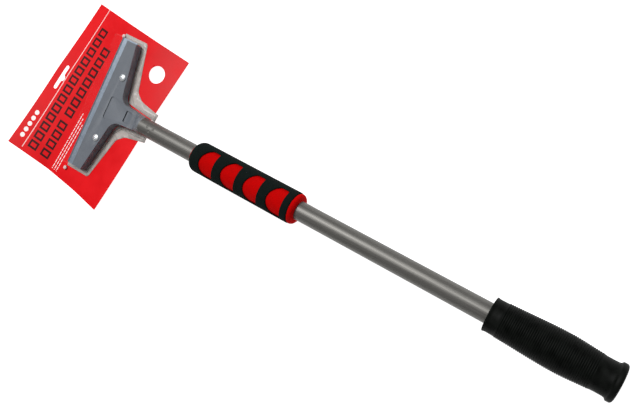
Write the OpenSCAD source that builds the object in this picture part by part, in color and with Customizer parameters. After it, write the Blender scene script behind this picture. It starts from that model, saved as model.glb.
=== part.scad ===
// Long-handled floor scraper, still in its retail card and clear blister.
// +X runs from the blade to the end of the grip, +Y along the blade, +Z up.
// The origin is the centre of the grip's flat end face, on the tube's axis.

/* [Tube] */
// Outside diameter of the steel tube
tube_d = 19; // [16:0.5:22]
// Wall thickness of the tube
tube_wall = 1.3; // [1:0.1:2]
// Bare tube between the head and the foam sleeve
neck_l = 75.5; // [40:0.5:160]
// Bare tube between the foam sleeve and the rubber grip
bare_l = 198.9; // [80:0.1:500]

/* [Foam sleeve] */
// Length of the foam sleeve
foam_l = 130.1; // [128:0.1:180]
// Outside diameter of the black foam skin
foam_d = 32.5; // [30:0.5:38]
// Thickness of the black foam skin
skin_t = 1.7; // [1:0.1:2.5]
// Pitch of the windows in the skin
window_pitch = 28.2; // [27:0.1:32]
// Length of one window along the tube
window_l = 17.5; // [12:0.5:18]

/* [Rubber grip] */
// Length of the rubber grip
grip_l = 112; // [100:1:130]
// Widest diameter of the grip's belly
grip_belly_d = 34.4; // [32:0.2:38]
// Diameter of the grip's waists in front of its belly and behind it
grip_waist_d = 30; // [28:0.2:32]
// Spacing of the fine ribs round the grip
rib_pitch = 1.8; // [1.6:0.1:4]

/* [Head] */
// Width of the head along the blade
head_w = 149.5; // [130:0.5:170]
// Length of the head from its front to the tube
head_l = 66; // [64:0.5:80]
// Depth of the head at the ends of its wings
wing_d = 13.3; // [13:0.1:15]
// Height of the head's flat top above the tube's axis
top_z = 1; // [0.5:0.1:2]
// Height of the head's wings
wing_h = 9.5; // [9.2:0.1:10]
// Distance between the two clamp screws
screw_gap = 72; // [60:1:76]
// Height of the raised panel
panel_h = 0.6; // [0.3:0.1:1]

/* [Blade] */
// Width of the blade
blade_w = 152.4; // [132:0.2:172]
// How far the blade stands out of the head
blade_out = 12; // [6:0.5:14]
// Thickness of the blade
blade_t = 1; // [0.7:0.1:1.2]

/* [Packaging] */
// Length of the retail card along the tool
card_l = 146; // [140:1:180]
// Width of the retail card across the tool
card_w = 191; // [185:1:220]
// How far the card sits turned from square with the tool, in degrees
card_skew = 7; // [0:0.5:8]
// Thickness of the retail card
card_t = 0.6; // [0.4:0.1:1]
// Height of the blister's roof over the head, from the tube's axis
blister_z = 5.6; // [5:0.1:9]
// Thickness of the blister's film
film_t = 0.5; // [0.4:0.1:0.8]

/* [Hidden] */
tube_r = tube_d / 2;
bore_r = tube_r - tube_wall;
grip_x = -grip_l;
foam_x1 = grip_x - bare_l;
foam_x0 = foam_x1 - foam_l;
mouth_x = foam_x0 - neck_l;
head_x = mouth_x - head_l;
grip_end_t = 5;
tube_l = -grip_end_t - mouth_x;
spigot_l = 30;
spigot_r = bore_r - 0.05;

wing_y = head_w / 2;
base_z = top_z - wing_h;
seat_z = top_z - 4;
seat_d = 11;
neck_y = 8.3;
neck_r = 8.7;
corner_x = 26.4;
corner_y = neck_y + (head_l - corner_x) * 0.09;
root_r = 12;
pocket_x = 21.2;
pocket_y = 30;

blade_top = seat_z - 0.1;
blade_back = seat_d - 0.2;
plate_top = blade_top - blade_t - 0.1;
plate_t = 2.5;
plate_back = 19.6;

screw_x = 15.3;
screw_y = screw_gap / 2;
screw_r = 2;
screw_hole_r = screw_r + 0.06;
screw_head_r = 3.8;
screw_head_h = 2.2;
screw_tip_z = -8;
nut_af = 7;
nut_t = 2.2;

panel_x = 11.8;
panel_y = 13;
panel_tip_x = 61;
panel_tip_y = 7.2;
slot_x = 37.8;
slot_y = 6.3;

window_y = 13.6;
window_first = 15.8;
window_turn = -8;
core_r = foam_d / 2 - skin_t - 0.05;
skin_front = 1.6;
skin_back = 4.6;

grip_bore_r = tube_r + 0.02;
grip_flange_r = 17.1;

card_top = -tube_r - 0.3;
card_mid_x = head_x - 11.8;
card_mid_y = -4;
hole_r = 9.7;
blister_base = card_top + 0.2;
arch_r = tube_r + 0.9;
arch_z = tube_r + 2.6;
eps = 0.01;

// A cylinder along +X, from its left end.
module along_x(r, l) {
    rotate([0, 90, 0])
        cylinder(r = r, h = l, $fn = 64);
}

// A flat side-view outline drawn in X and Z, carried across the tool.
module across(half) {
    translate([0, half, 0])
        rotate([90, 0, 0])
            linear_extrude(height = 2 * half)
                children();
}

// Points of the round in the corner between wing and neck, from the neck to the wing.
// The two straight edges leave the corner at the angles a and b.
function root_points(a, b, r, n) =
    let (half = (a - b) / 2, mid = (a + b) / 2, reach = r / sin(half))
    [for (i = [0:n])
        let (turn = b - 90 + 180 - (180 - 2 * half) * i / n + 180)
        [corner_x + reach * cos(mid) + r * cos(turn), corner_y + reach * sin(mid) + r * sin(turn)]];

// The head's outline from above, with its front edge on X = 0.
module head_outline() {
    wing_angle = atan2(wing_y - corner_y, wing_d - corner_x);
    neck_angle = atan2(neck_y - corner_y, head_l - corner_x);
    root = root_points(wing_angle, neck_angle, root_r, 12);
    for (side = [0, 1])
        mirror([0, side])
            polygon(concat([[0, -0.5], [head_l, -0.5], [head_l, neck_y]], root,
                [[wing_d, wing_y], [0, wing_y]]));
}

// The underside pocket that takes the blade and its clamp plate.
module pocket_outline() {
    polygon([[-1, -wing_y - 1], [seat_d, -wing_y - 1], [seat_d, -wing_y + 1], [pocket_x, -pocket_y],
        [pocket_x, pocket_y], [seat_d, wing_y - 1], [seat_d, wing_y + 1], [-1, wing_y + 1]]);
}

// The raised panel's outline, with its two wide corners rounded.
module panel_outline() {
    r = 2.5;
    polygon([[panel_x + r, -panel_y], [panel_tip_x, -panel_tip_y],
        [panel_tip_x, panel_tip_y], [panel_x + r, panel_y]]);
    translate([panel_x, -panel_y + r])
        square([r + 1, 2 * (panel_y - r)]);
    for (side = [-1, 1])
        translate([panel_x + r, side * (panel_y - r)])
            circle(r = r, $fn = 48);
}

module head_casting() {
    color([0.40, 0.42, 0.45])
        translate([head_x, 0, 0])
            difference() {
                union() {
                    translate([0, 0, base_z])
                        linear_extrude(height = wing_h)
                            head_outline();
                    translate([0, 0, top_z - eps])
                        linear_extrude(height = panel_h + eps)
                            panel_outline();
                    // The neck rises from the flat top to the round spigot.
                    intersection() {
                        translate([corner_x, 0, 0])
                            along_x(neck_r, head_l - corner_x);
                        across(neck_r + 1)
                            polygon([[corner_x, 0], [53, 0], [65, neck_r + 1],
                                [head_l + 1, neck_r + 1], [head_l + 1, base_z], [corner_x, base_z]]);
                    }
                    translate([head_l - 1, 0, 0])
                        along_x(spigot_r, spigot_l + 1);
                }
                translate([0, 0, base_z - 1])
                    linear_extrude(height = seat_z - base_z + 1)
                        pocket_outline();
                // Rectangular recess with a ramp behind it.
                across(slot_y)
                    polygon([[slot_x, 3], [slot_x, top_z - 2.4], [slot_x + 5.5, top_z - 2.4],
                        [slot_x + 11.5, 3]]);
                // Cored hollow under the root of the neck.
                translate([0, 0, base_z - 1])
                    linear_extrude(height = 5.5)
                        polygon([[24.5, -9], [48, -5.5], [48, 5.5], [24.5, 9]]);
                translate([head_l + 2, 0, 0])
                    along_x(spigot_r - 2.5, spigot_l);
                for (side = [-1, 1])
                    translate([screw_x, side * screw_y, seat_z - 1])
                        cylinder(r = screw_hole_r, h = 8, $fn = 48);
            }
}

module clamp_plate() {
    end_y = wing_y - 2;
    color([0.62, 0.63, 0.65])
        translate([head_x, 0, 0])
            difference() {
                union() {
                    translate([0, 0, plate_top - plate_t])
                        linear_extrude(height = plate_t)
                            polygon([[1.8, -end_y], [10.4, -end_y], [plate_back, -pocket_y],
                                [plate_back, pocket_y], [10.4, end_y], [1.8, end_y]]);
                    // Heel that bears on the casting behind the blade.
                    translate([plate_back - 1.8, -pocket_y + 1, plate_top - eps])
                        cube([1.8, 2 * pocket_y - 2, seat_z - 0.2 - plate_top]);
                }
                for (side = [-1, 1])
                    translate([screw_x, side * screw_y, 0]) {
                        translate([0, 0, -12])
                            cylinder(r = screw_r + 0.4, h = 12, $fn = 48);
                        translate([0, 0, plate_top - plate_t - 1])
                            cylinder(r = (nut_af + 0.2) / 2 / cos(30), h = nut_t + 0.8, $fn = 6);
                    }
            }
}

module blade() {
    color([0.70, 0.76, 0.83])
        translate([head_x, 0, 0])
            across(blade_w / 2)
                polygon([[-blade_out, blade_top - blade_t], [blade_back, blade_top - blade_t],
                    [blade_back, blade_top], [-blade_out + 3, blade_top],
                    [-blade_out, blade_top - blade_t + 0.15]]);
}

// A pan-head screw with a cross recess, standing on the head's flat top.
module clamp_screw(side) {
    color([0.85, 0.86, 0.88])
        translate([head_x + screw_x, side * screw_y, 0])
            difference() {
                union() {
                    translate([0, 0, screw_tip_z])
                        cylinder(r = screw_r, h = top_z + 1 - screw_tip_z, $fn = 48);
                    intersection() {
                        translate([0, 0, top_z + 0.05])
                            cylinder(r = screw_head_r, h = screw_head_h, $fn = 64);
                        translate([0, 0, top_z + 0.05 + screw_head_h - 6])
                            sphere(r = 6, $fn = 96);
                    }
                }
                for (turn = [0, 90])
                    rotate([0, 0, turn + 20])
                        translate([-2, -0.35, top_z + screw_head_h - 1.1])
                            cube([4, 0.7, 3]);
            }
}

module screw_left() {
    clamp_screw(-1);
}

module screw_right() {
    clamp_screw(1);
}

module clamp_nut(side) {
    color([0.72, 0.71, 0.66])
        translate([head_x + screw_x, side * screw_y, plate_top - plate_t - 0.2])
            difference() {
                cylinder(r = nut_af / 2 / cos(30), h = nut_t, $fn = 6);
                translate([0, 0, -1])
                    cylinder(r = screw_hole_r, h = nut_t + 2, $fn = 48);
            }
}

module nut_left() {
    clamp_nut(-1);
}

module nut_right() {
    clamp_nut(1);
}

module tube() {
    dent_x = 16;
    dent_r = 2.2;
    dent_depth = 0.55;
    color([0.36, 0.35, 0.33])
        translate([mouth_x, 0, 0])
            difference() {
                along_x(tube_r, tube_l);
                translate([-1, 0, 0])
                    along_x(bore_r, tube_l + 2);
                // Punched dents that lock the tube on the spigot.
                for (dent = [[0, 0], [-4, 24], [-4, -24], [4, 24], [4, -24]])
                    rotate([dent[1] + 8, 0, 0])
                        translate([dent_x + dent[0], 0, tube_r + dent_r - dent_depth])
                            sphere(r = dent_r, $fn = 48);
            }
}

// The red core, with a rounded collar that shows behind the skin.
module foam_core() {
    collar = foam_l - skin_back + 0.05;
    collar_r = foam_d / 2 - 0.7;
    color([0.78, 0.03, 0.04])
        translate([foam_x0, 0, 0])
            rotate([0, 90, 0])
                rotate_extrude($fn = 64)
                    polygon([[tube_r + 0.02, 0], [tube_r + 1.2, 0], [tube_r + 2.2, 1],
                        [core_r, 6.2], [core_r, collar], [collar_r, collar],
                        [collar_r, foam_l - 3.4], [collar_r - 0.9, foam_l - 1.6],
                        [collar_r - 2.6, foam_l - 0.4], [collar_r - 4, foam_l],
                        [tube_r + 0.02, foam_l]]);
}

// One window's cutter: a bar with a round front end and a straight back.
module window_cut(turn) {
    rotate([turn, 0, 0])
        linear_extrude(height = foam_d)
            intersection() {
                translate([15, 0])
                    circle(r = 15.5, $fn = 96);
                translate([-2, -window_y])
                    square([window_l + 1.5, 2 * window_y]);
            }
}

module foam_skin() {
    r = foam_d / 2;
    back = foam_l - skin_back;
    round_l = 6;
    round_d = 3.7;
    color([0.06, 0.07, 0.07])
        translate([foam_x0, 0, 0])
            difference() {
                rotate([0, 90, 0])
                    rotate_extrude($fn = 64)
                        polygon(concat(
                            [[tube_r + 2.75, skin_front]],
                            [for (i = [0:6])
                                [r - round_d * (1 - sin(15 * i)), skin_front + round_l * (1 - cos(15 * i))]],
                            [[r, back - 0.8], [r - 0.8, back], [core_r + 0.05, back], [core_r + 0.05, 6]]));
                for (i = [0:3])
                    for (turn = [0, 180])
                        translate([window_first + i * window_pitch, 0, 0])
                            window_cut(turn - window_turn);
            }
}

// Radius of the grip's smooth body at a distance x behind its front.
function grip_r(x) =
    let (waist = grip_waist_d / 2, belly = grip_belly_d / 2, full = 62, rear = 101)
    x < full ? waist + 0.2 + (belly - waist - 0.2) * (1 - cos(180 * x / full)) / 2
        : waist + (belly - waist) * (1 + cos(180 * min(1, (x - full) / (rear - full)))) / 2;

module rubber_grip() {
    rib_x0 = 12;
    rib_n = floor((92 - rib_x0) / rib_pitch);
    rib_h = 0.45;
    color([0.05, 0.05, 0.05])
        translate([grip_x, 0, 0])
            rotate([0, 90, 0])
                rotate_extrude($fn = 48)
                    polygon(concat(
                        [[grip_bore_r, 0], [15.6, 0], [15.8, 1.2], [grip_r(2), 2.2], [grip_r(6), 6]],
                        [for (i = [0:2 * rib_n])
                            let (x = rib_x0 + i * rib_pitch / 2)
                            [grip_r(x) + (i % 2 == 0 ? 0 : rib_h), x]],
                        [[grip_r(96), 96], [grip_r(101), grip_l - 11], [grip_flange_r - 0.6, grip_l - 7],
                        [grip_flange_r, grip_l - 5.5], [grip_flange_r, grip_l - 2.5],
                        [grip_flange_r - 1.5, grip_l - 0.6], [grip_flange_r - 3.5, grip_l],
                        [0, grip_l], [0, grip_l - grip_end_t + 0.1], [grip_bore_r, grip_l - grip_end_t + 0.1]]));
}

// The hanging slot: a bar with round ends and a round bump on the tool's side.
module hang_slot() {
    for (side = [-1, 1])
        translate([0, side * 13])
            circle(r = 2.5, $fn = 32);
    translate([-2.5, -13])
        square([5, 26]);
    translate([1.5, 0])
        circle(r = 4, $fn = 40);
}

module retail_card() {
    color([0.92, 0.14, 0.16])
        translate([card_mid_x, card_mid_y, card_top - card_t])
            rotate([0, 0, -card_skew])
                linear_extrude(height = card_t)
                    difference() {
                        square([card_l, card_w], center = true);
                        translate([-card_l / 2 + 11, 0.6])
                            hang_slot();
                        translate([card_l / 2 - 24.3, card_w / 2 - 30])
                            circle(r = hole_r, $fn = 64);
                    }
}

// The outline of the blister's wall from above, grown outward by g.
module blister_wall(g) {
    polygon([[-blade_out - 3, -77.6 - g], [15.2 + g * 0.8, -77.6 - g], [27 + g, -24 - g * 0.4],
        [34.5 + g * 0.5, -15.4 - g * 0.9], [69, -13.8 - g], [69, 13.8 + g],
        [34.5 + g * 0.5, 15.4 + g * 0.9], [27 + g, 24 + g * 0.4], [15.2 + g * 0.8, 77.6 + g],
        [-blade_out - 3, 77.6 + g]]);
}

// The outline of the blister's flat rim on the card.
module blister_rim() {
    polygon([[-blade_out - 3, -81.2], [18.8, -81.2], [33.5, -29], [42.5, -21.6], [69, -16.6],
        [69, 16.6], [42.5, 21.6], [33.5, 29], [18.8, 81.2], [-blade_out - 3, 81.2]]);
}

module blister() {
    roof = blister_z - blister_base;
    color([0.85, 0.87, 0.88, 0.3])
        translate([head_x, 0, 0])
            difference() {
                union() {
                    translate([0, 0, blister_base])
                        linear_extrude(height = film_t)
                            blister_rim();
                    translate([0, 0, blister_base])
                        linear_extrude(height = roof)
                            blister_wall(0);
                    translate([44, -12.6, blister_base])
                        cube([25, 25.2, arch_z - blister_base]);
                }
                // Hollow for the head, open at the front and underneath.
                translate([0, 0, blister_base - 1])
                    linear_extrude(height = roof + 1 - film_t)
                        blister_wall(-film_t);
                translate([-blade_out - 4, -77.6 + film_t, blister_base - 1])
                    cube([10, 2 * (77.6 - film_t), roof + 1 - film_t]);
                translate([44 + film_t, -12.6 + film_t, blister_base - 1])
                    cube([25 - 2 * film_t, 25.2 - 2 * film_t, arch_z - blister_base + 1 - film_t]);
                // Arch in the back wall where the tube leaves.
                translate([64, 0, 0])
                    along_x(arch_r, 12);
                translate([64, -arch_r, blister_base - 1])
                    cube([12, 2 * arch_r, -blister_base + 1]);
            }
}

head_casting();
clamp_plate();
blade();
screw_left();
screw_right();
nut_left();
nut_right();
tube();
foam_core();
foam_skin();
rubber_grip();
retail_card();
blister();
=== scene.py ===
"""Looks of a long-handled floor scraper that sits on its retail card under a clear blister."""

import logging
import math
from dataclasses import dataclass
from enum import Enum
from typing import Iterable, Sequence

import bmesh
import bpy
from mathutils import Matrix, Vector


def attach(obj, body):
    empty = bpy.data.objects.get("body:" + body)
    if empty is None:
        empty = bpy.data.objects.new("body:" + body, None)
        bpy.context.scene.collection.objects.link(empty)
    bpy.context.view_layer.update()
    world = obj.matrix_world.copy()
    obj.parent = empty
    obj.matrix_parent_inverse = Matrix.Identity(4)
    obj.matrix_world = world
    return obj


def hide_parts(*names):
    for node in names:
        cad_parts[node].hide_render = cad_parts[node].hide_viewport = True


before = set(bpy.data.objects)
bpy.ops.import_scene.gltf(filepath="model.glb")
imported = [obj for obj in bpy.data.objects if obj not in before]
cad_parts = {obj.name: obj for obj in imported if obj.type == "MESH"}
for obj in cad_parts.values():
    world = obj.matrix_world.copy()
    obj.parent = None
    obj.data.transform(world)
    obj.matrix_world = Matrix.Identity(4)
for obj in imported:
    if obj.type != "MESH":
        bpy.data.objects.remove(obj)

MM = 0.001
LOG = logging.getLogger("scraper")

Colour = tuple[float, float, float]


class Body(Enum):
    """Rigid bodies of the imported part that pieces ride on."""

    TOOL = "tool"
    CARD = "card"
    BLISTER = "blister"


class Edge(Enum):
    """Angles, in degrees, past which a piece's edges stay sharp."""

    SOFT = 50.0
    CRISP = 28.0


# ---------------------------------------------------------------- node helpers


class Field:
    """A number that varies over a surface, made of math nodes."""

    def __init__(self, sheet: "NodeSheet", socket: bpy.types.NodeSocket) -> None:
        """Wraps an output socket of a node sheet.

        Args:
            sheet: The sheet that new math nodes are added to.
            socket: The output socket that carries the number.
        """
        self.sheet = sheet
        self.socket = socket

    def _math(self, operation: str, other: "Field | float | None" = None, clamp: bool = False) -> "Field":
        """Adds one math node.

        Args:
            operation: Blender's name of the operation.
            other: The second number, if the operation takes one.
            clamp: Whether the result is held between 0 and 1.

        Returns:
            The result as a field.
        """
        node = self.sheet.add("ShaderNodeMath", operation=operation, use_clamp=clamp)
        self.sheet.join(self.socket, node.inputs[0])
        if isinstance(other, Field):
            self.sheet.join(other.socket, node.inputs[1])
        elif other is not None:
            node.inputs[1].default_value = other
        return Field(self.sheet, node.outputs[0])

    def __add__(self, other: "Field | float") -> "Field":
        """Returns the sum."""
        return self._math("ADD", other)

    def __sub__(self, other: "Field | float") -> "Field":
        """Returns the difference."""
        return self._math("SUBTRACT", other)

    def __mul__(self, other: "Field | float") -> "Field":
        """Returns the product."""
        return self._math("MULTIPLY", other)

    def above(self, limit: float) -> "Field":
        """Returns 1 where the number is over the limit, and 0 elsewhere."""
        return self._math("GREATER_THAN", limit)

    def below(self, limit: float) -> "Field":
        """Returns 1 where the number is under the limit, and 0 elsewhere."""
        return self._math("LESS_THAN", limit)

    def part(self) -> "Field":
        """Returns the number's fractional part."""
        return self._math("FRACT")

    def away_from(self, centre: float) -> "Field":
        """Returns the distance from a centre value."""
        return (self - centre)._math("ABSOLUTE")

    def between(self, low: float, high: float) -> "Field":
        """Returns 1 between two limits, and 0 elsewhere."""
        return self.above(low) * self.below(high)

    def either(self, other: "Field") -> "Field":
        """Returns the larger of two numbers."""
        return self._math("MAXIMUM", other)

    def ramp(self, low: float, high: float, start: float = 0.0, end: float = 1.0) -> "Field":
        """Maps one range of the number to another, held at both ends.

        Args:
            low: The input that gives start.
            high: The input that gives end.
            start: The result at low.
            end: The result at high.

        Returns:
            The mapped field.
        """
        node = self.sheet.add("ShaderNodeMapRange")
        self.sheet.join(self.socket, node.inputs["Value"])
        for name, value in zip(("From Min", "From Max", "To Min", "To Max"), (low, high, start, end)):
            node.inputs[name].default_value = value
        return Field(self.sheet, node.outputs[0])


class NodeSheet:
    """Node tree of one finish, with short calls for the nodes that the finishes share."""

    def __init__(self, name: str) -> None:
        """Starts a material with one principled shader.

        Args:
            name: The record's material slot.
        """
        self.material = bpy.data.materials.new(name + "_finish")
        self.material["slot"] = name
        self.material.use_nodes = True
        self.tree = self.material.node_tree
        self.tree.nodes.clear()
        self.surface = self.add("ShaderNodeBsdfPrincipled")
        self.join(self.surface.outputs["BSDF"], self.add("ShaderNodeOutputMaterial").inputs["Surface"])
        self.place = self.add("ShaderNodeTexCoord")

    def add(self, kind: str, **settings: object) -> bpy.types.Node:
        """Adds a node and sets its properties.

        Args:
            kind: Blender's type name of the node.
            **settings: Properties of the node.

        Returns:
            The new node.
        """
        node = self.tree.nodes.new(kind)
        for name, value in settings.items():
            setattr(node, name, value)
        return node

    def join(self, source: bpy.types.NodeSocket, target: bpy.types.NodeSocket) -> None:
        """Links two sockets."""
        self.tree.links.new(source, target)

    def fix(self, **values: object) -> None:
        """Sets uniform values on the shader's own sockets, with _ for a space."""
        for name, value in values.items():
            self.surface.inputs[name.replace("_", " ")].default_value = value

    def scaled(self, stretch: Sequence[float]) -> bpy.types.NodeSocket:
        """Scales object coordinates.

        Args:
            stretch: Scale along X, Y and Z.

        Returns:
            The mapped vector.
        """
        node = self.add("ShaderNodeMapping")
        self.join(self.place.outputs["Object"], node.inputs["Vector"])
        node.inputs["Scale"].default_value = stretch
        return node.outputs["Vector"]

    def noise(self, grain_mm: float, detail: float = 2.0, stretch: Sequence[float] = (1, 1, 1)) -> Field:
        """Adds noise on object coordinates.

        Args:
            grain_mm: Size of one blotch, in millimetres.
            detail: Octaves of finer noise.
            stretch: Extra scale along each axis.

        Returns:
            The noise, about 0 to 1.
        """
        node = self.add("ShaderNodeTexNoise")
        self.join(self.scaled(stretch), node.inputs["Vector"])
        node.inputs["Scale"].default_value = 1.0 / (grain_mm * MM)
        node.inputs["Detail"].default_value = detail
        return Field(self, node.outputs[0])

    def cells(self, grain_mm: float) -> Field:
        """Adds cell distances on object coordinates.

        Args:
            grain_mm: Size of one cell, in millimetres.

        Returns:
            Distance from the middle of the cell, about 0 to 1.
        """
        node = self.add("ShaderNodeTexVoronoi")
        self.join(self.place.outputs["Object"], node.inputs["Vector"])
        node.inputs["Scale"].default_value = 1.0 / (grain_mm * MM)
        return Field(self, node.outputs["Distance"])

    def blend(self, amount: Field, first: "Colour | bpy.types.NodeSocket",
              second: "Colour | bpy.types.NodeSocket") -> bpy.types.NodeSocket:
        """Mixes two colours.

        Args:
            amount: 0 for the first colour, 1 for the second.
            first: A colour or a colour socket.
            second: A colour or a colour socket.

        Returns:
            The mixed colour.
        """
        node = self.add("ShaderNodeMix", data_type="RGBA")
        self.join(amount.socket, node.inputs["Factor"])
        for name, colour in (("A", first), ("B", second)):
            socket = next(s for s in node.inputs if s.name == name and s.type == "RGBA")
            if isinstance(colour, bpy.types.NodeSocket):
                self.join(colour, socket)
            else:
                socket.default_value = (*colour, 1.0)
        return next(s for s in node.outputs if s.type == "RGBA")

    def paint(self, colour: bpy.types.NodeSocket) -> None:
        """Uses a colour socket as the base colour."""
        self.join(colour, self.surface.inputs["Base Color"])

    def drive(self, name: str, value: Field) -> None:
        """Uses a field on one of the shader's sockets."""
        self.join(value.socket, self.surface.inputs[name])

    def relief(self, height: Field, depth_mm: float, strength: float = 1.0) -> None:
        """Adds a bump.

        Args:
            height: The height field.
            depth_mm: Depth of a height of 1, in millimetres.
            strength: How much of the bump is used.
        """
        node = self.add("ShaderNodeBump")
        node.inputs["Strength"].default_value = strength
        node.inputs["Distance"].default_value = depth_mm * MM
        self.join(height.socket, node.inputs["Height"])
        self.join(node.outputs["Normal"], self.surface.inputs["Normal"])


# ------------------------------------------------------------------- finishes


@dataclass(frozen=True)
class CastPaint:
    """Satin grey paint over a casting, with a fine orange peel."""

    light: Colour = (0.112, 0.126, 0.148)
    dark: Colour = (0.090, 0.102, 0.122)
    roughness: tuple[float, float] = (0.40, 0.52)

    def make(self) -> bpy.types.Material:
        """Returns the material."""
        sheet = NodeSheet("cast_grey")
        fine = sheet.noise(0.7, 3.0)
        broad = sheet.noise(14.0, 2.0)
        sheet.paint(sheet.blend((fine * 0.5 + broad * 0.5).ramp(0.35, 0.65), self.dark, self.light))
        sheet.drive("Roughness", fine.ramp(0.3, 0.7, *self.roughness))
        sheet.relief(fine + sheet.noise(0.25, 1.0) * 0.4, 0.05, 0.5)
        sheet.fix(Metallic=0.0, Specular_IOR_Level=0.45)
        return sheet.material


@dataclass(frozen=True)
class GroundSteel:
    """Spring steel with fine grinding marks across the edge."""

    name: str = "blade_steel"
    light: Colour = (0.30, 0.355, 0.42)
    dark: Colour = (0.22, 0.265, 0.325)
    grind_mm: float = 0.22

    def make(self) -> bpy.types.Material:
        """Returns the material."""
        sheet = NodeSheet(self.name)
        marks = sheet.noise(self.grind_mm, 3.0, (0.04, 1.0, 1.0))
        stain = sheet.noise(9.0, 3.0)
        sheet.paint(sheet.blend((marks * 0.6 + stain * 0.4).ramp(0.35, 0.65), self.dark, self.light))
        sheet.drive("Roughness", marks.ramp(0.3, 0.7, 0.30, 0.46))
        sheet.relief(marks, 0.012, 0.5)
        sheet.fix(Metallic=1.0)
        return sheet.material


@dataclass(frozen=True)
class BrightPlate:
    """Bright plating on a small fastener, with faint handling marks."""

    name: str = "bright_screw"
    light: Colour = (0.93, 0.95, 0.97)
    dark: Colour = (0.80, 0.83, 0.86)
    roughness: tuple[float, float] = (0.34, 0.46)

    def make(self) -> bpy.types.Material:
        """Returns the material."""
        sheet = NodeSheet(self.name)
        marks = sheet.noise(0.5, 3.0)
        sheet.paint(sheet.blend(marks.ramp(0.3, 0.7), self.dark, self.light))
        sheet.drive("Roughness", marks.ramp(0.3, 0.7, *self.roughness))
        sheet.relief(sheet.noise(0.2, 2.0), 0.01, 0.4)
        sheet.fix(Metallic=1.0)
        return sheet.material


@dataclass(frozen=True)
class GunmetalPaint:
    """Metallic gunmetal paint on drawn tube, with flake and faint draw lines."""

    light: Colour = (0.150, 0.145, 0.135)
    dark: Colour = (0.085, 0.082, 0.076)

    def make(self) -> bpy.types.Material:
        """Returns the material."""
        sheet = NodeSheet("gunmetal_paint")
        flake = sheet.noise(0.35, 2.0)
        drawn = sheet.noise(0.8, 2.0, (0.02, 1.0, 1.0))
        tone = (flake * 0.6 + drawn * 0.4).ramp(0.35, 0.65)
        sheet.paint(sheet.blend(tone, self.dark, self.light))
        sheet.drive("Roughness", flake.ramp(0.3, 0.7, 0.40, 0.52))
        sheet.relief(flake, 0.02, 0.35)
        sheet.fix(Metallic=0.55, Specular_IOR_Level=0.35)
        return sheet.material


@dataclass(frozen=True)
class CellFoam:
    """Closed-cell foam with a fine open-pored skin."""

    name: str
    light: Colour
    dark: Colour
    sheen: float = 0.1

    def make(self) -> bpy.types.Material:
        """Returns the material."""
        sheet = NodeSheet(self.name)
        cells = sheet.cells(0.55)
        cloud = sheet.noise(4.0, 3.0)
        tone = (cells * 0.5 + cloud * 0.5).ramp(0.25, 0.65)
        sheet.paint(sheet.blend(tone, self.dark, self.light))
        sheet.drive("Roughness", cloud.ramp(0.3, 0.7, 0.82, 0.96))
        sheet.relief(cells + cloud * 0.6, 0.10, 0.6)
        sheet.fix(Specular_IOR_Level=0.04, Sheen_Weight=self.sheen, Sheen_Roughness=0.6)
        return sheet.material


@dataclass(frozen=True)
class MouldedRubber:
    """Black moulded rubber with a slight bloom."""

    light: Colour = (0.0042, 0.0050, 0.0042)
    dark: Colour = (0.0014, 0.0018, 0.0014)

    def make(self) -> bpy.types.Material:
        """Returns the material."""
        sheet = NodeSheet("black_rubber")
        bloom = sheet.noise(7.0, 4.0)
        grain = sheet.noise(0.4, 2.0)
        sheet.paint(sheet.blend(bloom.ramp(0.35, 0.7), self.dark, self.light))
        sheet.drive("Roughness", (bloom * 0.6 + grain * 0.4).ramp(0.3, 0.7, 0.42, 0.62))
        sheet.relief(grain, 0.03, 0.5)
        sheet.fix(Specular_IOR_Level=0.055)
        return sheet.material


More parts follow.
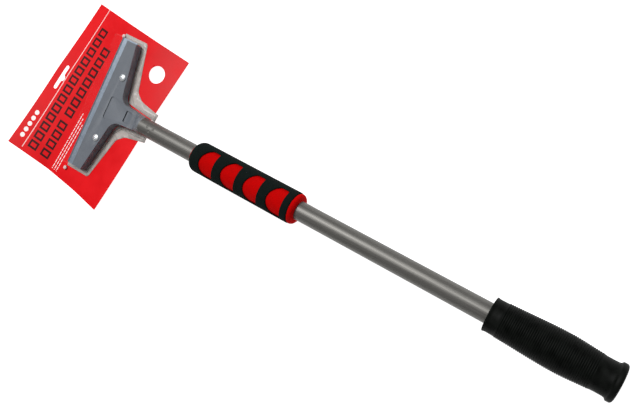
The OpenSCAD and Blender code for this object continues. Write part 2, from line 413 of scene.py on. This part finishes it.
@dataclass(frozen=True)
class PrintedCard:
    """Coated red card, printed with plain generic marks: hollow blocks, dots and rules."""

    red: Colour = (0.72, 0.004, 0.008)
    deep_red: Colour = (0.62, 0.002, 0.005)
    dark: Colour = (0.045, 0.004, 0.005)
    pale: Colour = (0.88, 0.62, 0.60)
    white: Colour = (0.90, 0.86, 0.85)

    def make(self) -> bpy.types.Material:
        """Returns the material."""
        sheet = NodeSheet("red_card")
        along, across = self._place(sheet)
        mottle = sheet.noise(22.0, 3.0)
        colour = sheet.blend(mottle.ramp(0.3, 0.7), self.deep_red, self.red)
        rule = along.between(16.9, 17.9) * across.between(4.0, 191.0)
        colour = sheet.blend(rule, colour, self.pale)
        dots = self._dots(along, across)
        colour = sheet.blend(dots, colour, self.white)
        rings = self._rings(along, across, 28.0, 12.0, 7.0, 12.6, 13).either(
            self._rings(along, across, 46.0, 12.0, 7.0, 12.6, 4)
        ).either(self._rings(along, across, 46.0, 12.0, 62.0, 13.2, 7))
        colour = sheet.blend(rings, colour, self.dark)
        rules = self._dashes(along, across, 62.5, 77.0, 0.9).either(
            self._dashes(along, across, 66.0, 72.0, 0.9)
        ).either(self._dashes(along, across, 69.5, 66.0, 0.9))
        colour = sheet.blend(rules, colour, self.white)
        sheet.paint(colour)
        sheet.drive("Roughness", mottle.ramp(0.3, 0.7, 0.36, 0.46))
        sheet.relief(sheet.noise(0.6, 2.0), 0.01, 0.3)
        sheet.fix(Specular_IOR_Level=0.12)
        return sheet.material

    @staticmethod
    def _place(sheet: NodeSheet) -> tuple[Field, Field]:
        """Reads the card's own map.

        Args:
            sheet: The material's node sheet.

        Returns:
            Millimetres along the tool and across it, from the card's corner.
        """
        uv = sheet.add("ShaderNodeUVMap", uv_map="card")
        split = sheet.add("ShaderNodeSeparateXYZ")
        sheet.join(uv.outputs["UV"], split.inputs["Vector"])
        return Field(sheet, split.outputs["X"]) * 200.0, Field(sheet, split.outputs["Y"]) * 200.0

    @staticmethod
    def _rings(along: Field, across: Field, centre: float, height: float, start: float,
               pitch: float, count: int) -> Field:
        """Draws a row of hollow blocks.

        Args:
            along: Place along the tool.
            across: Place across the tool.
            centre: Middle of the row, along the tool.
            height: Height of a block.
            start: Where the row starts.
            pitch: Distance from block to block.
            count: Number of blocks.

        Returns:
            1 on the blocks' outlines.
        """
        row = across.between(start, start + pitch * count)
        cell = ((across - start) * (1.0 / pitch)).part().away_from(0.5)
        level = along.away_from(centre) * (1.0 / height)
        outer = cell.below(0.39) * level.below(0.5)
        inner = cell.below(0.19) * level.below(0.30)
        return (outer - inner) * row

    @staticmethod
    def _dots(along: Field, across: Field) -> Field:
        """Draws a short row of round dots near the card's front corner."""
        pitch = 7.6
        row = across.between(12.0, 12.0 + pitch * 5)
        cell = ((across - 12.0) * (1.0 / pitch)).part().away_from(0.5) * pitch
        level = along.away_from(9.6)
        return (cell * cell + level * level).below(8.2) * row

    @staticmethod
    def _dashes(along: Field, across: Field, level: float, end: float, width: float) -> Field:
        """Draws a thin dashed rule.

        Args:
            along: Place along the tool.
            across: Place across the tool.
            level: Place of the rule along the tool.
            end: Where it ends, across the tool.
            width: Thickness of the rule.

        Returns:
            1 on the dashes.
        """
        dash = ((across + level * 3.1) * 0.19).part().below(0.8)
        return along.between(level - width / 2, level + width / 2) * across.between(4.0, end) * dash


@dataclass(frozen=True)
class ClearFilm:
    """Clear formed film, hazy where it is sealed down, with a painted highlight along its cut edge and a
    painted sheen where it is seen edge-on.
    """

    clear_tint: Colour = (0.55, 0.55, 0.53)
    sealed: Colour = (0.47, 0.45, 0.42)
    sealed_light: Colour = (0.54, 0.52, 0.49)
    # painted highlight: pale pink for light caught along the film's cut edge, tinted by the red card
    edge: Colour = (0.86, 0.62, 0.60)
    clear: float = 0.006
    # opacity of a painted sheen that shows on film seen edge-on
    painted_sheen: float = 0.10
    hazy: float = 0.84

    def make(self) -> bpy.types.Material:
        """Returns the material."""
        sheet = NodeSheet("clear_film")
        haze = Field(sheet, sheet.add("ShaderNodeAttribute", attribute_name="haze").outputs["Fac"])
        edge_glint = Field(sheet, sheet.add("ShaderNodeAttribute", attribute_name="edge_glint").outputs["Fac"])
        facing = Field(sheet, sheet.add("ShaderNodeLayerWeight").outputs["Facing"])
        streak = sheet.noise(2.5, 3.0)
        # mask where the painted edge highlight is laid
        rim = edge_glint.ramp(0.80, 0.95)
        # painted sheen: the film turns more opaque and shows its grey tint where seen edge-on, standing in
        # for reflection
        sheen_and_clear_alpha = facing.ramp(0.45, 1.0) * self.painted_sheen + self.clear
        clouded = haze.ramp(0.0, 1.0, 0.0, self.hazy) * streak.ramp(0.2, 0.8, 0.94, 1.06)
        sheet.drive("Alpha", sheen_and_clear_alpha.either(clouded))
        sealed = sheet.blend(streak.ramp(0.3, 0.7), self.sealed, self.sealed_light)
        # the painted edge highlight is mixed over the clear and sealed film colours
        sheet.paint(sheet.blend(rim, sheet.blend(haze.ramp(0.0, 0.6), self.clear_tint, sealed), self.edge))
        sheet.drive("Roughness", streak.ramp(0.3, 0.7, 0.16, 0.30))
        sheet.relief(streak, 0.02, 0.15)
        sheet.fix(Specular_IOR_Level=0.2)
        return sheet.material


@dataclass(frozen=True)
class PaleFloor:
    """Plain white floor with a barely visible tone."""

    white: Colour = (0.40, 0.40, 0.40)
    off_white: Colour = (0.38, 0.38, 0.38)
    glow: float = 1.0

    def make(self) -> bpy.types.Material:
        """Returns the material."""
        sheet = NodeSheet("pale_floor")
        sheet.paint(sheet.blend(sheet.noise(80.0, 2.0), self.off_white, self.white))
        sheet.fix(Roughness=0.9, Specular_IOR_Level=0.0, Emission_Color=(1.0, 1.0, 1.0, 1.0),
                  Emission_Strength=self.glow)
        return sheet.material


# --------------------------------------------------------------- mesh helpers


def cad_copy(node: str) -> bmesh.types.BMesh:
    """Copies a CAD node's mesh, joined into one skin with its flat areas merged.

    Args:
        node: Name of the CAD node.

    Returns:
        The joined copy.
    """
    bm = bmesh.new()
    bm.from_mesh(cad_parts[node].data)
    bmesh.ops.remove_doubles(bm, verts=bm.verts, dist=0.002 * MM)
    bmesh.ops.dissolve_limit(bm, angle_limit=math.radians(0.5), verts=bm.verts, edges=bm.edges)
    return bm


def turned(profile: Iterable[tuple[float, float]], start: float, steps: int) -> bmesh.types.BMesh:
    """Spins a closed profile round the tool's axis.

    Args:
        profile: Points as millimetres along the axis from start, and radius.
        start: Place of the profile's zero on the axis, in millimetres.
        steps: Number of steps in the full turn.

    Returns:
        The closed solid.
    """
    bm = bmesh.new()
    ring = [bm.verts.new(((start + x) * MM, 0.0, r * MM)) for x, r in profile]
    for first, second in zip(ring, ring[1:] + ring[:1]):
        bm.edges.new((first, second))
    bmesh.ops.spin(bm, geom=bm.verts[:] + bm.edges[:], cent=(0, 0, 0), axis=(1, 0, 0),
                   angle=2 * math.pi, steps=steps, use_merge=True)
    bmesh.ops.remove_doubles(bm, verts=bm.verts, dist=0.002 * MM)
    bmesh.ops.recalc_face_normals(bm, faces=bm.faces)
    return bm


def settle(bm: bmesh.types.BMesh, name: str, body: Body, finish: bpy.types.Material,
           edge: Edge = Edge.SOFT) -> bpy.types.Object:
    """Turns a mesh into a finished object on its body.

    Args:
        bm: The mesh, which is used up.
        name: Name of the object.
        body: The body it rides on.
        finish: Its material, which says its slot.
        edge: Which edges stay sharp.

    Returns:
        The object.
    """
    mesh = bpy.data.meshes.new(name)
    bm.to_mesh(mesh)
    bm.free()
    mesh.shade_smooth()
    mesh.set_sharp_from_angle(angle=math.radians(edge.value))
    mesh.materials.append(finish)
    piece = bpy.data.objects.new(name, mesh)
    bpy.context.scene.collection.objects.link(piece)
    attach(piece, body.value)
    LOG.info("%s: %d faces on %s", name, len(mesh.polygons), body.value)
    return piece


def baked(piece: bpy.types.Object) -> None:
    """Applies a piece's modifiers to its mesh."""
    graph = bpy.context.evaluated_depsgraph_get()
    mesh = bpy.data.meshes.new_from_object(piece.evaluated_get(graph))
    piece.modifiers.clear()
    piece.data = mesh
    mesh.shade_smooth()


def dress(node: str, finish: bpy.types.Material) -> None:
    """Gives a carried-over CAD node its material."""
    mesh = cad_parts[node].data
    mesh.materials.clear()
    mesh.materials.append(finish)
    LOG.info("%s: carried over", node)


# --------------------------------------------------------------- sub-assemblies


@dataclass
class Layout:
    """Places along the tool, in millimetres, from the end of the grip."""

    grip: float = 112.0
    bare: float = 198.9
    foam: float = 130.1
    neck: float = 75.5
    head: float = 66.0

    @property
    def grip_x(self) -> float:
        """Front of the rubber grip."""
        return -self.grip

    @property
    def foam_x(self) -> float:
        """Front of the foam sleeve."""
        return self.grip_x - self.bare - self.foam

    @property
    def mouth_x(self) -> float:
        """Front end of the tube."""
        return self.foam_x - self.neck

    @property
    def head_x(self) -> float:
        """Front of the cast head."""
        return self.mouth_x - self.head


@dataclass
class Head:
    """Cast head with its blade, clamp plate, screws and nuts."""

    at: Layout
    proud_z: float = 1.6
    pressed_z: float = 0.1
    round_mm: float = 0.4
    round_steps: int = 3

    def build(self) -> None:
        """Builds the casting and dresses the pieces it holds."""
        casting = settle(self._cast(), "head_body", Body.TOOL, CastPaint().make(), Edge.CRISP)
        soften = casting.modifiers.new("rounded_edges", "BEVEL")
        soften.width = self.round_mm * MM
        soften.segments = self.round_steps
        soften.limit_method = "ANGLE"
        soften.angle_limit = math.radians(32)
        soften.harden_normals = True
        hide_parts("head_casting")
        dress("blade", GroundSteel().make())
        dress("clamp_plate", GroundSteel("plate_steel", (0.50, 0.51, 0.52), (0.38, 0.39, 0.40), 0.4).make())
        bright = BrightPlate().make()
        zinc = BrightPlate("zinc_nut", (0.62, 0.60, 0.52), (0.48, 0.47, 0.42), (0.3, 0.42)).make()
        for node in ("screw_left", "screw_right"):
            dress(node, bright)
        for node in ("nut_left", "nut_right"):
            dress(node, zinc)

    def _cast(self) -> bmesh.types.BMesh:
        """Returns the casting's copy with its top panel pressed in, where the CAD's stands proud."""
        bm = cad_copy("head_casting")
        for vert in bm.verts:
            if abs(vert.co.z / MM - self.proud_z) < 0.05 and vert.co.x < (self.at.mouth_x - 1.0) * MM:
                vert.co.z = self.pressed_z * MM
        bmesh.ops.recalc_face_normals(bm, faces=bm.faces)
        return bm


@dataclass
class Shaft:
    """Painted steel tube."""

    def build(self) -> None:
        """Dresses the tube."""
        dress("tube", GunmetalPaint().make())


@dataclass
class FoamSleeve:
    """Red foam core under a black foam skin with windows."""

    at: Layout
    tube_r: float = 9.5
    core_r: float = 14.75
    collar_r: float = 15.7
    skin_back: float = 4.6
    voxel: float = 0.6
    red: CellFoam = CellFoam("red_foam", (0.48, 0.001, 0.001), (0.36, 0.0, 0.0), 0.0)
    black: CellFoam = CellFoam("black_foam", (0.006, 0.010, 0.009), (0.0025, 0.0045, 0.004), 0.0)

    def build(self) -> None:
        """Builds both layers."""
        core = settle(turned(self._core_profile(), self.at.foam_x, 96), "foam_red_core",
                      Body.TOOL, self.red.make())
        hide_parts("foam_core")
        skin = settle(cad_copy("foam_skin"), "foam_black_skin", Body.TOOL, self.black.make())
        merge = skin.modifiers.new("even_mesh", "REMESH")
        merge.mode = "VOXEL"
        merge.voxel_size = self.voxel * MM
        soft = skin.modifiers.new("soft_edges", "SMOOTH")
        soft.factor = 0.5
        soft.iterations = 7
        baked(skin)
        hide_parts("foam_skin")

    def _core_profile(self) -> list[tuple[float, float]]:
        """Returns the red core's closed profile, with a rounded collar behind the skin."""
        length = self.at.foam
        collar = length - self.skin_back
        front = [(0.0, self.tube_r + 0.02), (0.0, self.tube_r + 1.6), (0.3, self.tube_r + 2.1),
                 (1.0, self.tube_r + 2.5), (6.2, self.core_r - 0.25), (9.0, self.core_r)]
        middle = [(x, self.core_r) for x in range(14, int(collar) - 1, 6)]
        step = [(collar - 0.6, self.core_r), (collar + 0.15, self.collar_r - 0.5),
                (collar + 0.6, self.collar_r)]
        radius = 3.6
        turn = [(length - radius + radius * math.sin(math.radians(a)),
                 self.collar_r - radius * 1.15 * (1 - math.cos(math.radians(a))))
                for a in range(0, 91, 15)]
        return front + middle + step + turn + [(length, self.tube_r + 0.02)]


@dataclass
class RubberGrip:
    """Black grip with a thin lip, fine ribs, a belly and an end flange."""

    at: Layout
    bore_r: float = 9.52
    lip_r: float = 15.8
    waist_r: float = 15.0
    belly_r: float = 17.2
    belly_x: float = 62.0
    neck_x: float = 101.0
    flange_r: float = 17.1
    rib_start: float = 11.0
    rib_end: float = 93.0
    rib_pitch: float = 1.8
    rib_h: float = 0.5

    def build(self) -> None:
        """Builds the grip."""
        grip = settle(turned(self._profile(), self.at.grip_x, 96), "grip_ribbed", Body.TOOL,
                      MouldedRubber().make())
        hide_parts("rubber_grip")

    def _body_r(self, x: float) -> float:
        """Returns the smooth body's radius at a distance behind the grip's front."""
        if x < self.belly_x:
            low = self.waist_r + 0.2
            return low + (self.belly_r - low) * (1 - math.cos(math.pi * x / self.belly_x)) / 2
        share = min(1.0, (x - self.belly_x) / (self.neck_x - self.belly_x))
        return self.waist_r + (self.belly_r - self.waist_r) * (1 + math.cos(math.pi * share)) / 2

    def _profile(self) -> list[tuple[float, float]]:
        """Returns the grip's closed profile, from its bore round the outside to its end."""
        end = self.at.grip
        points = [(0.0, self.bore_r), (0.0, self.lip_r - 0.7), (0.25, self.lip_r - 0.1),
                  (0.8, self.lip_r), (1.3, self.lip_r - 0.15), (2.2, self._body_r(2) + 0.1),
                  (4.0, self._body_r(4)), (7.5, self._body_r(7.5))]
        ribs = int((self.rib_end - self.rib_start) / self.rib_pitch)
        crown = ((0.0, 0.0), (0.18, 0.55), (0.34, 0.95), (0.5, 1.0), (0.66, 0.95), (0.82, 0.55))
        for i in range(ribs):
            x = self.rib_start + i * self.rib_pitch
            for step, rise in crown:
                place = x + step * self.rib_pitch
                points.append((place, self._body_r(place) + rise * self.rib_h))
        points += [(self.rib_end + 1.0, self._body_r(self.rib_end + 1)), (97.0, self._body_r(97)),
                   (101.0, self.waist_r + 0.05), (104.0, self.waist_r + 0.1), (105.6, self.waist_r + 0.5)]
        points += [(106.4, self.flange_r - 0.6), (107.0, self.flange_r), (109.4, self.flange_r)]
        points += [(end - 2.4 + 2.3 * math.sin(math.radians(a)),
                    self.flange_r - 2.6 * (1 - math.cos(math.radians(a)))) for a in range(20, 91, 14)]
        points += [(end, self.flange_r - 3.4), (end, 8.0), (end - 0.35, 6.5), (end - 0.35, 0.0)]
        points += [(end - 4.9, 0.0), (end - 4.9, self.bore_r)]
        return points


@dataclass
class RetailCard:
    """Printed card behind the head, which sags at one end and curls up at two corners."""

    at: Layout
    length: float = 146.0
    width: float = 191.0
    skew: float = 7.0
    mid: tuple[float, float] = (-11.8, -4.0)
    cuts: int = 26
    sag: float = 7.4
    front_curl: float = 14.6
    back_curl: float = 5.4

    def build(self) -> None:
        """Builds the card from its cut shape, bends it and maps its print."""
        bm = cad_copy("retail_card")
        square = self.square()
        bmesh.ops.transform(bm, matrix=square.inverted(), verts=bm.verts)
        for i in range(1, self.cuts):
            for normal, size in (((1, 0, 0), self.length), ((0, 1, 0), self.width)):
                place = (i / self.cuts - 0.5) * size * MM
                bmesh.ops.bisect_plane(bm, geom=bm.verts[:] + bm.edges[:] + bm.faces[:],
                                       plane_co=Vector(normal) * place, plane_no=normal)
        marks = bm.loops.layers.uv.new("card")
        for face in bm.faces:
            for loop in face.loops:
                x, y = loop.vert.co.x / MM, loop.vert.co.y / MM
                loop[marks].uv = ((x + self.length / 2) / 200.0, (y + self.width / 2) / 200.0)
        bmesh.ops.transform(bm, matrix=square, verts=bm.verts)
        for vert in bm.verts:
            vert.co.z += self.lift(vert.co) * MM
        card = settle(bm, "printed_card", Body.CARD, PrintedCard().make(), Edge.SOFT)
        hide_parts("retail_card")

    def square(self) -> Matrix:
        """Returns the turn and shift from a card square on the origin to its place."""
        place = Matrix.Translation(((self.at.head_x + self.mid[0]) * MM, self.mid[1] * MM, 0))
        return place @ Matrix.Rotation(-math.radians(self.skew), 4, "Z")

    def lift(self, point: Vector) -> float:
        """Returns how far the bent card stands above its flat plane at a point.

        Args:
            point: A place on the part, in metres.

        Returns:
            The lift, in millimetres.
        """
        flat = self.square().inverted() @ Vector((point.x, point.y, 0))
        along, across = flat.x / MM, flat.y / MM
        half_l, half_w = self.length / 2, self.width / 2
        ahead = max(0.0, (-14.0 - along) / (half_l - 14.0)) ** 1.1
        behind = max(0.0, (along - 30.0) / (half_l - 30.0)) ** 1.1
        right = max(0.0, (across - 6.0) / (half_w - 6.0)) ** 1.1
        left = max(0.0, (half_w - across) / self.width) ** 2
        outer = max(0.0, (8.0 - across) / (half_w + 8.0)) ** 1.5
        rise = self.front_curl * ahead * left + self.back_curl * behind * outer
        return rise - self.sag * right * (ahead + behind)


@dataclass
class Blister:
    """Clear formed cover over the head, open at the front, on a hazy sealed rim."""

    at: Layout
    card: RetailCard
    base_z: float = -9.5
    roof_z: float = 5.6
    draft: float = 0.982
    arch_r: float = 12.4
    film: float = 0.35
    haze_rise: float = 0.7
    front: float = -15.0
    bend_pitch: float = 7.0
    wall: tuple[tuple[float, float], ...] = (
        (-15.0, 77.6), (15.2, 77.6), (27.0, 24.0), (34.5, 15.4), (69.0, 13.8))
    rim: tuple[tuple[float, float], ...] = (
        (-15.0, 81.2), (18.4, 80.9), (33.2, 28.8), (42.5, 21.6), (69.0, 16.6))
    seal: tuple[tuple[float, float], ...] = (
        (-15.0, 75.4), (12.6, 75.2), (23.4, 23.6), (28.0, 13.4), (69.0, 8.4))
    corner_mm: tuple[float, float] = (2.2, 3.0)
    pips: tuple[float, float] = (-15.4, 81.0)
    pip_shift: float = -3.6

    def build(self) -> None:
        """Builds the cover, its rim, its arch over the tube and its corner pips."""
        finish = ClearFilm().make()
        cover = settle(self._cover(), "blister_cover", Body.BLISTER, finish, Edge.CRISP)
        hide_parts("blister")
        self._thicken(cover)
        self._thicken(settle(self._rim(), "blister_rim", Body.BLISTER, finish, Edge.CRISP))
        self._thicken(settle(self._arch(), "blister_arch", Body.BLISTER, finish, Edge.CRISP))
        settle(self._pips(), "blister_pips", Body.BLISTER, finish, Edge.SOFT)

    def _thicken(self, piece: bpy.types.Object) -> None:
        """Gives an open shell the film's thickness."""
        thick = piece.modifiers.new("film", "SOLIDIFY")
        thick.thickness = self.film * MM
        thick.offset = -1.0

    def _plan(self, bm: bmesh.types.BMesh, outline: tuple[tuple[float, float], ...],
              corner: float) -> bmesh.types.BMFace:
        """Draws a mirrored outline with rounded corners as one flat face.

        Args:
            bm: The mesh it is added to.
            outline: Half of the outline, from the front corner to the back.
            corner: Width of the rounded corners, in millimetres.

        Returns:
            The face, which points up.
        """
        old = set(bm.faces)
        half = [((self.at.head_x + x) * MM, y * MM) for x, y in outline]
        ring = [bm.verts.new((x, y, self.base_z * MM)) for x, y in half]
        ring += [bm.verts.new((x, -y, self.base_z * MM)) for x, y in reversed(half)]
        bm.faces.new(ring)
        count = len(half)
        inner = [v for i, v in enumerate(ring) if i not in (0, count - 1, count, 2 * count - 1)]
        bmesh.ops.bevel(bm, geom=inner, offset=corner * MM, segments=4, profile=0.5,
                        affect="VERTICES", material=-1, clamp_overlap=True)
        face = next(f for f in bm.faces if f not in old)
        face.normal_update()
        if face.normal.z < 0:
            face.normal_flip()
        return face

    def _sides(self, face: bmesh.types.BMFace, side: float) -> list[bmesh.types.BMEdge]:
        """Returns the edges of a flat outline on one side of the tool, without its two ends."""
        return [e for e in face.edges if all(v.co.y * side > 0 for v in e.verts)]

    def _cover(self) -> bmesh.types.BMesh:
        """Returns the walls and roof as an open shell."""
        bm = bmesh.new()
        root = self._plan(bm, self.wall, self.corner_mm[0])
        raised = bmesh.ops.extrude_face_region(bm, geom=[root])
        top = [g for g in raised["geom"] if isinstance(g, bmesh.types.BMVert)]
        bmesh.ops.translate(bm, verts=top, vec=(0, 0, (self.roof_z - self.base_z) * MM))
        centre = Vector(((self.at.head_x + 12.0) * MM, 0, 0))
        bmesh.ops.scale(bm, verts=top, vec=(self.draft, self.draft, 1), space=Matrix.Translation(-centre))
        low = self.base_z * MM + 1e-5
        bmesh.ops.delete(bm, geom=[f for f in bm.faces if all(v.co.z < low for v in f.verts)],
                         context="FACES_ONLY")
        front_x = (self.at.head_x + self.front + 2.5) * MM
        bmesh.ops.delete(bm, geom=[f for f in bm.faces if all(v.co.x < front_x for v in f.verts)],
                         context="FACES_ONLY")
        upper = (self.roof_z - 0.1) * MM
        roof_edges = [e for e in bm.edges if len(e.link_faces) == 2 and all(v.co.z > upper for v in e.verts)]
        bmesh.ops.bevel(bm, geom=roof_edges, offset=1.6 * MM, segments=4, profile=0.5, affect="EDGES",
                        material=-1, clamp_overlap=True)
        bmesh.ops.bisect_plane(bm, geom=bm.verts[:] + bm.edges[:] + bm.faces[:],
                               plane_co=(0, 0, (self.base_z + self.haze_rise) * MM), plane_no=(0, 0, 1))
        self._finish_shell(bm)
        haze, _ = self._shades(bm)
        for vert in bm.verts:
            height = vert.co.z / MM - self.base_z
            vert[haze] = max(0.0, 1.0 - height / self.haze_rise)
        self._bend(bm)
        return bm

    def _rim(self) -> bmesh.types.BMesh:
        """Returns the flat rim sealed to the card, as an open sheet on each side of the tool."""
        bm = bmesh.new()
        inner = self._plan(bm, self.seal, self.corner_mm[0])
        outer = self._plan(bm, self.rim, self.corner_mm[1])
        outline = {v for v in outer.verts}
        for side in (-1.0, 1.0):
            bmesh.ops.bridge_loops(bm, edges=self._sides(inner, side) + self._sides(outer, side))
        bmesh.ops.delete(bm, geom=[inner, outer], context="FACES")
        haze, edge_glint = self._shades(bm)
        for vert in bm.verts:
            vert[haze] = 1.0
            # the rim's outer cut edge carries the full painted highlight
            vert[edge_glint] = 1.0 if vert in outline else 0.0
        self._finish_shell(bm)
        self._bend(bm)
        return bm

    def _finish_shell(self, bm: bmesh.types.BMesh) -> None:
        """Cuts a shell finely both ways and points its faces outward."""
        for i in range(-11, 12):
            bmesh.ops.bisect_plane(bm, geom=bm.verts[:] + bm.edges[:] + bm.faces[:],
                                   plane_co=(0, i * self.bend_pitch * MM, 0), plane_no=(0, 1, 0))
        for i in range(-2, 10):
            bmesh.ops.bisect_plane(bm, geom=bm.verts[:] + bm.edges[:] + bm.faces[:],
                                   plane_co=((self.at.head_x + i * self.bend_pitch) * MM, 0, 0),
                                   plane_no=(1, 0, 0))
        bmesh.ops.recalc_face_normals(bm, faces=bm.faces)
        if sum(f.normal.z * f.calc_area() for f in bm.faces) < 0:
            bmesh.ops.reverse_faces(bm, faces=bm.faces)

    @staticmethod
    def _shades(bm: bmesh.types.BMesh) -> tuple[object, object]:
        """Adds the film's two layers: haze, and brink, which paints a highlight along the cut edge; returns
        them.
        """
        return bm.verts.layers.float.new("haze"), bm.verts.layers.float.new("edge_glint")

    def _bend(self, bm: bmesh.types.BMesh) -> None:
        """Bends a shell on to the card, least at the roof."""
        depth = self.roof_z - self.base_z
        for vert in bm.verts:
            share = max(0.0, 1.0 - (vert.co.z / MM - self.base_z) / depth)
            vert.co.z += self.card.lift(vert.co) * share * MM

    def _arch(self) -> bmesh.types.BMesh:
        """Returns the half-round arch that clears the tube, as an open shell."""
        bm = bmesh.new()
        start, end = (self.at.head_x + 48.0) * MM, (self.at.head_x + 69.0) * MM
        first = bm.verts.new((end, self.arch_r * MM, 0))
        bmesh.ops.spin(bm, geom=[first], cent=(end, 0, 0), axis=(1, 0, 0), angle=math.pi, steps=20)
        drawn = bmesh.ops.extrude_edge_only(bm, edges=bm.edges[:])
        for vert in [g for g in drawn["geom"] if isinstance(g, bmesh.types.BMVert)]:
            vert.co.x = start + max(0.0, vert.co.z) * 0.35
            vert.co.z = min(vert.co.z, (self.roof_z + 0.5) * MM)
        bmesh.ops.recalc_face_normals(bm, faces=bm.faces)
        if sum(f.normal.z * f.calc_area() for f in bm.faces) < 0:
            bmesh.ops.reverse_faces(bm, faces=bm.faces)
        self._shades(bm)
        return bm

    def _pips(self) -> bmesh.types.BMesh:
        """Returns the two small sealed pips at the front corners."""
        bm = bmesh.new()
        for side in (-1, 1):
            made = bmesh.ops.create_uvsphere(bm, u_segments=20, v_segments=10, radius=2.3 * MM)
            bmesh.ops.scale(bm, verts=made["verts"], vec=(1, 1, 0.5))
            across = side * self.pips[1] + self.pip_shift
            place = Vector(((self.at.head_x + self.pips[0]) * MM, across * MM, 0))
            place.z = (self.base_z + 1.25 + self.card.lift(place)) * MM
            bmesh.ops.translate(bm, verts=made["verts"], vec=place)
        haze, edge_glint = self._shades(bm)
        for vert in bm.verts:
            vert[haze] = 1.0
            # the pips carry part of the painted edge highlight
            vert[edge_glint] = 0.88
        return bm


@dataclass
class Studio:
    """Pale floor, camera and soft light."""

    floor_z: float = -17.8
    lens: float = 37.895
    eye: tuple[float, float, float] = (-56.91, 66.08, 586.19)
    aim: tuple[float, float, float] = (-293.19, 12.34, 0.0)
    roll: float = 75.844
    sun_from: tuple[float, float, float] = (-0.34, 0.31, 0.89)
    sun_power: float = 3.1
    sun_spread: float = 26.0
    sky: float = 0.28

    def build(self) -> None:
        """Builds everything round the object."""
        self._floor()
        self._camera()
        self._light()

    def _floor(self) -> None:
        """Makes the floor."""
        bm = bmesh.new()
        bmesh.ops.create_grid(bm, x_segments=4, y_segments=4, size=4.0)
        bmesh.ops.translate(bm, verts=bm.verts, vec=(0, 0, self.floor_z * MM))
        mesh = bpy.data.meshes.new("floor")
        bm.to_mesh(mesh)
        bm.free()
        mesh.materials.append(PaleFloor().make())
        floor = bpy.data.objects.new("floor", mesh)
        bpy.context.scene.collection.objects.link(floor)

    def _camera(self) -> None:
        """Makes the camera, which looks at a point of the tube and is rolled about its view."""
        camera = bpy.data.objects.new("camera", bpy.data.cameras.new("camera"))
        bpy.context.scene.collection.objects.link(camera)
        eye = Vector(self.eye) * MM
        ahead = (Vector(self.aim) * MM - eye).normalized()
        side = ahead.cross(Vector((0, 0, 1))).normalized()
        roll = math.radians(self.roll)
        up = side.cross(ahead) * math.cos(roll) + side * math.sin(roll)
        axes = Matrix((ahead.cross(up), up, -ahead)).transposed()
        camera.matrix_world = Matrix.Translation(eye) @ axes.to_4x4()
        camera.data.lens = self.lens
        camera.data.sensor_width = 36.0
        camera.data.clip_start = 0.01
        bpy.context.scene.camera = camera

    def _light(self) -> None:
        """Makes one broad soft key light and an even sky."""
        sun = bpy.data.objects.new("key_light", bpy.data.lights.new("key_light", "SUN"))
        sun.data.energy = self.sun_power
        sun.data.angle = math.radians(self.sun_spread)
        sun.rotation_mode = "QUATERNION"
        sun.rotation_quaternion = Vector(self.sun_from).to_track_quat("Z", "Y")
        bpy.context.scene.collection.objects.link(sun)
        world = bpy.data.worlds.new("sky")
        world.use_nodes = True
        world.node_tree.nodes["Background"].inputs["Color"].default_value = (1, 1, 1, 1)
        world.node_tree.nodes["Background"].inputs["Strength"].default_value = self.sky
        bpy.context.scene.world = world
        bpy.context.scene.view_settings.view_transform = "Standard"


def main() -> None:
    logging.basicConfig(level=logging.INFO, format="%(message)s")
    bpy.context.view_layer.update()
    at = Layout()
    card = RetailCard(at)
    for part in (Head(at), Shaft(), FoamSleeve(at), RubberGrip(at), card, Blister(at, card), Studio()):
        part.build()
        LOG.info("%s built", type(part).__name__)


if __name__ == "__main__":
    main()
